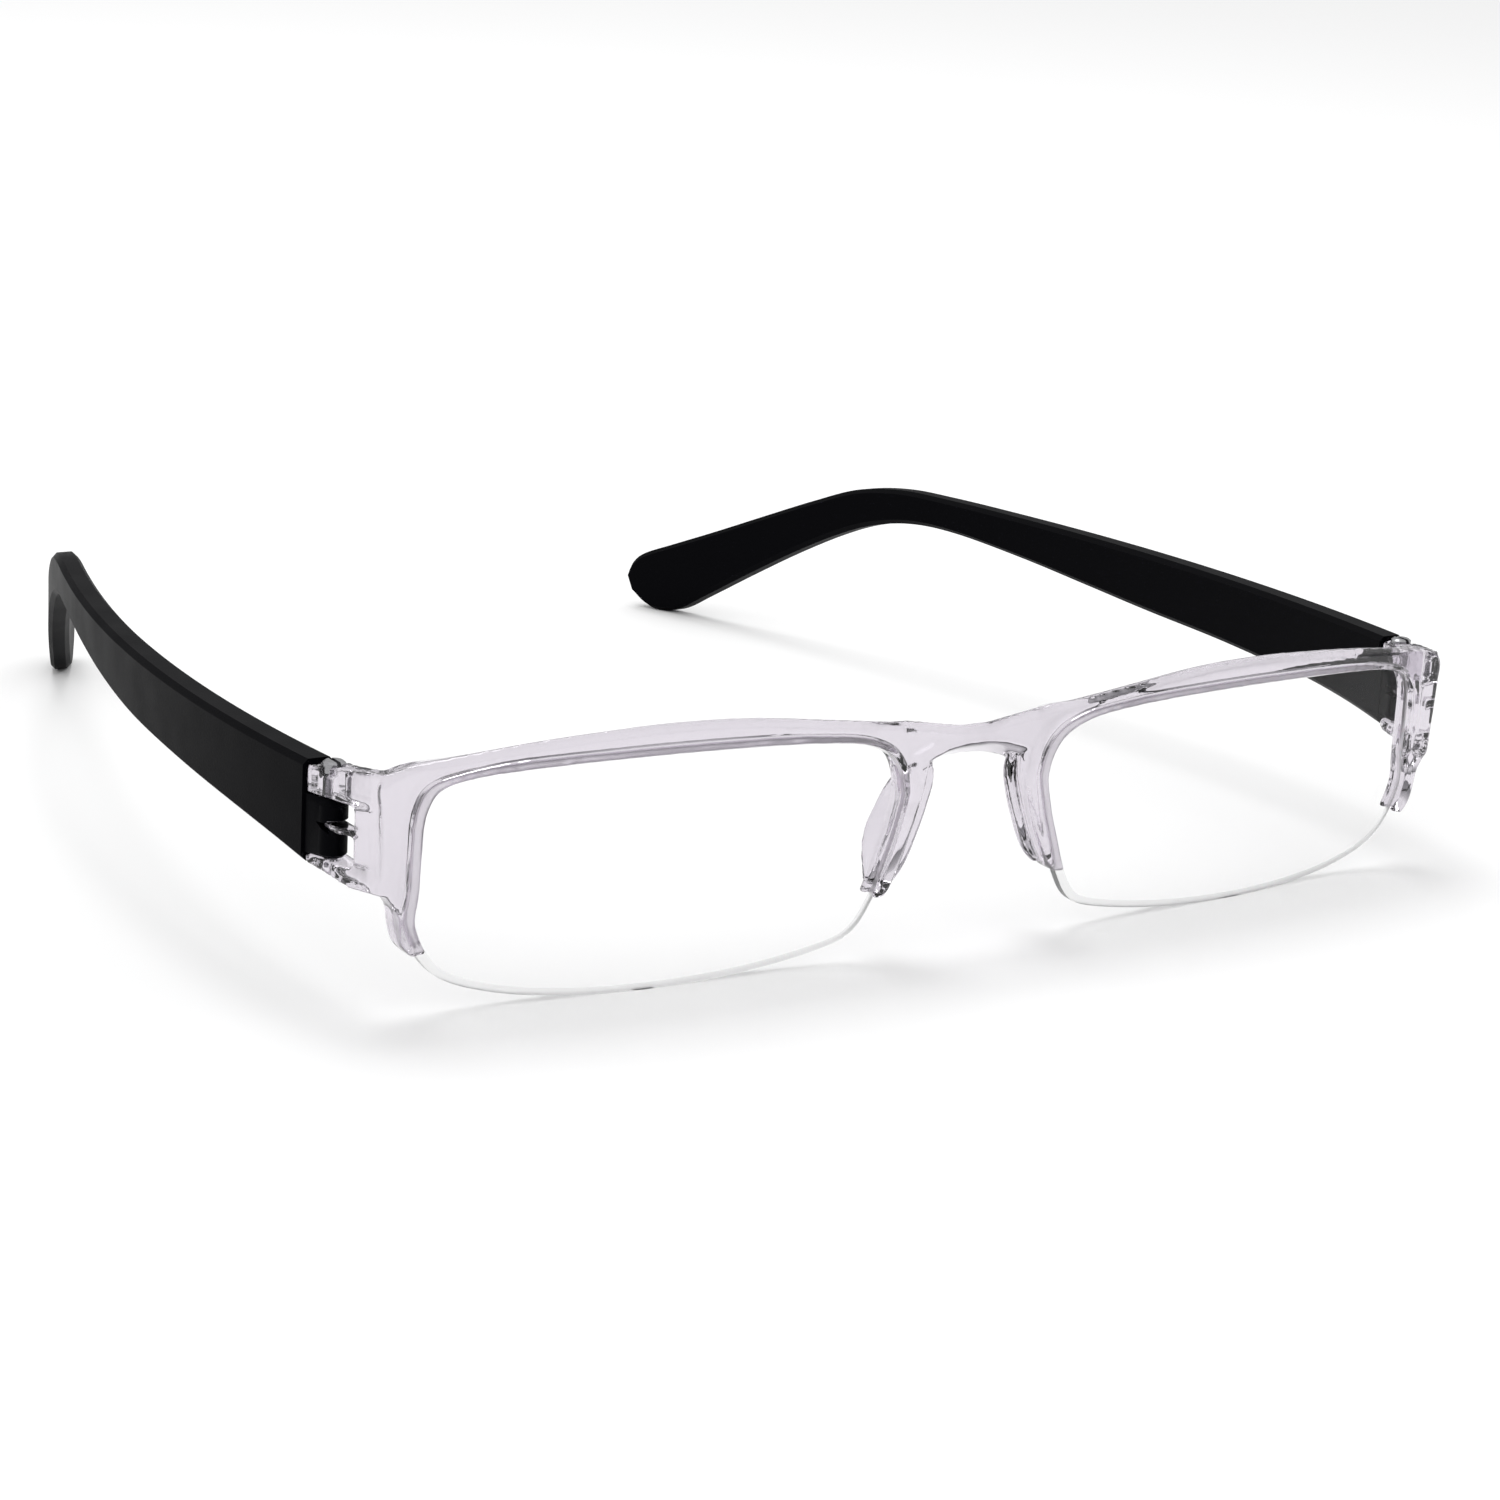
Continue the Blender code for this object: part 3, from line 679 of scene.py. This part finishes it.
def lens_plastic():
    """Clear polished lens plastic with a matt ground edge."""
    result, shader, tree = new_material("lens_plastic", (1.0, 1.0, 1.0), 0.0)
    shader.inputs["Transmission Weight"].default_value = 1.0
    smears = object_noise(tree, 60.0, 2.0)
    edge = tree.nodes.new("ShaderNodeAttribute")
    edge.attribute_name = GROUND_EDGE
    vary(tree, edge, LENS_FACE_INDEX, PLASTIC_INDEX, shader.inputs["IOR"])
    matt = tree.nodes.new("ShaderNodeMath")
    matt.operation = "MULTIPLY_ADD"
    matt.inputs[1].default_value = SMEAR_ROUGHNESS
    tree.links.new(smears.outputs["Fac"], matt.inputs[0])
    tree.links.new(edge.outputs["Fac"], matt.inputs[2])
    limit = tree.nodes.new("ShaderNodeMath")
    limit.operation = "MINIMUM"
    limit.inputs[1].default_value = GROUND_ROUGHNESS
    tree.links.new(matt.outputs["Value"], limit.inputs[0])
    tree.links.new(limit.outputs["Value"], shader.inputs["Roughness"])
    vary(tree, edge, 1.0, GROUND_TINT, shader.inputs["Base Color"])
    return result


def black_plastic():
    """Black plastic with the fine satin grain of its mould."""
    result, shader, tree = new_material("black_plastic", BLACK_COLOUR, 0.42)
    grain = object_noise(tree, 5200.0, 3.0)
    add_bump(tree, shader, grain, 0.35, 0.00005)
    cloud = object_noise(tree, 220.0, 4.0)
    vary(tree, cloud, 0.36, 0.5, shader.inputs["Roughness"])
    shader.inputs["Specular IOR Level"].default_value = BLACK_SPECULAR
    return result


def screw_steel():
    """Bright turned steel."""
    result, shader, tree = new_material("screw_steel", STEEL_COLOUR, 0.28, 1.0)
    marks = object_noise(tree, 2600.0, 2.0)
    vary(tree, marks, 0.18, 0.36, shader.inputs["Roughness"])
    add_bump(tree, shader, marks, 0.2, 0.00003)
    return result


def keep_inside(piece):
    """Hold a piece inside the part's box, which its finer surface passes by a few microns."""
    count = len(piece.data.vertices)
    places = np.empty(3 * count)
    piece.data.vertices.foreach_get("co", places)
    inside = np.clip(places.reshape(count, 3), cad_box[0], cad_box[1])
    piece.data.vertices.foreach_set("co", inside.ravel())


def place_piece(piece, look, body, node):
    """Give a piece its look, the body that carries it and the node that it stands for."""
    keep_inside(piece)
    piece.data.materials.clear()
    piece.data.materials.append(look)
    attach(piece, body)
    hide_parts(node)


def make_pieces():
    """Build and place every piece of the glasses."""
    clear = clear_plastic()
    lens_look = lens_plastic()
    black = black_plastic()
    steel = screw_steel()
    place_piece(front_moulding(), clear, "front", "front_frame")
    for side, word in SIDES:
        glass = lens(f"clear_lens_{word}", side)
        place_piece(glass, lens_look, "front", f"lens_{word}")
        screw = hinge_screw(f"screw_{word}", side)
        place_piece(screw, steel, "front", f"hinge_screw_{word}")
        arm = temple(f"arm_{word}", side)
        place_piece(arm, black, f"temple_{word}", f"temple_{word}")


def add_floor():
    """Plain white floor that fills the view."""
    mesh = bpy.data.meshes.new("floor")
    corners = [(x * FLOOR_REACH, y * FLOOR_REACH, 0.0) for x, y in ((-1, -1), (1, -1), (1, 1), (-1, 1))]
    mesh.from_pydata(corners, [], [(0, 1, 2, 3)])
    floor = bpy.data.objects.new("floor", mesh)
    bpy.context.scene.collection.objects.link(floor)
    look, shader, _ = new_material("floor_white", FLOOR_COLOUR, 0.9)
    shader.inputs["Specular IOR Level"].default_value = 0.0
    mesh.materials.append(look)


def add_world():
    """Even white surroundings that are a little darker near the horizon."""
    world = bpy.data.worlds.new("studio")
    bpy.context.scene.world = world
    world.use_nodes = True
    tree = world.node_tree
    background = tree.nodes["Background"]
    place = tree.nodes.new("ShaderNodeTexCoord")
    split = tree.nodes.new("ShaderNodeSeparateXYZ")
    ramp = tree.nodes.new("ShaderNodeValToRGB")
    ramp.color_ramp.elements[0].position = 0.0
    ramp.color_ramp.elements[0].color = HORIZON_COLOUR
    ramp.color_ramp.elements[1].position = 0.5
    ramp.color_ramp.elements[1].color = ROOM_COLOUR
    tree.links.new(place.outputs["Generated"], split.inputs["Vector"])
    tree.links.new(split.outputs["Z"], ramp.inputs["Fac"])
    tree.links.new(ramp.outputs["Color"], background.inputs["Color"])
    background.inputs["Strength"].default_value = ROOM_STRENGTH


def add_light(name, place, target, size, power):
    """Square soft light, with places in metres."""
    data = bpy.data.lights.new(name, "AREA")
    data.shape = "SQUARE"
    data.size = size
    data.energy = power
    lamp = bpy.data.objects.new(name, data)
    bpy.context.scene.collection.objects.link(lamp)
    lamp.location = place
    lamp.rotation_mode = "QUATERNION"
    lamp.rotation_quaternion = (Vector(target) - Vector(place)).to_track_quat("-Z", "Y")


def add_camera():
    """Camera at the angle from which the glasses are shown."""
    azimuth = math.radians(CAMERA_AZIMUTH)
    elevation = math.radians(CAMERA_ELEVATION)
    roll = math.radians(CAMERA_ROLL)
    back = Vector((math.sin(azimuth) * math.cos(elevation),
                   -math.cos(azimuth) * math.cos(elevation), math.sin(elevation)))
    level = Vector((math.cos(azimuth), math.sin(azimuth), 0.0))
    rise = back.cross(level)
    right = math.cos(roll) * level + math.sin(roll) * rise
    up = back.cross(right)
    data = bpy.data.cameras.new("camera")
    data.lens = CAMERA_LENS
    data.clip_start = 0.01
    data.clip_end = 50.0
    camera = bpy.data.objects.new("camera", data)
    bpy.context.scene.collection.objects.link(camera)
    turn = Matrix((right, up, back)).transposed().to_4x4()
    place = Vector(CAMERA_PLACE) * MM + SHIFT
    camera.matrix_world = Matrix.Translation(place) @ turn
    bpy.context.scene.camera = camera


make_pieces()
add_floor()
add_world()
add_light("key", KEY_PLACE, KEY_TARGET, KEY_SIZE, KEY_POWER)
add_camera()
bpy.context.scene.view_settings.view_transform = "Standard"
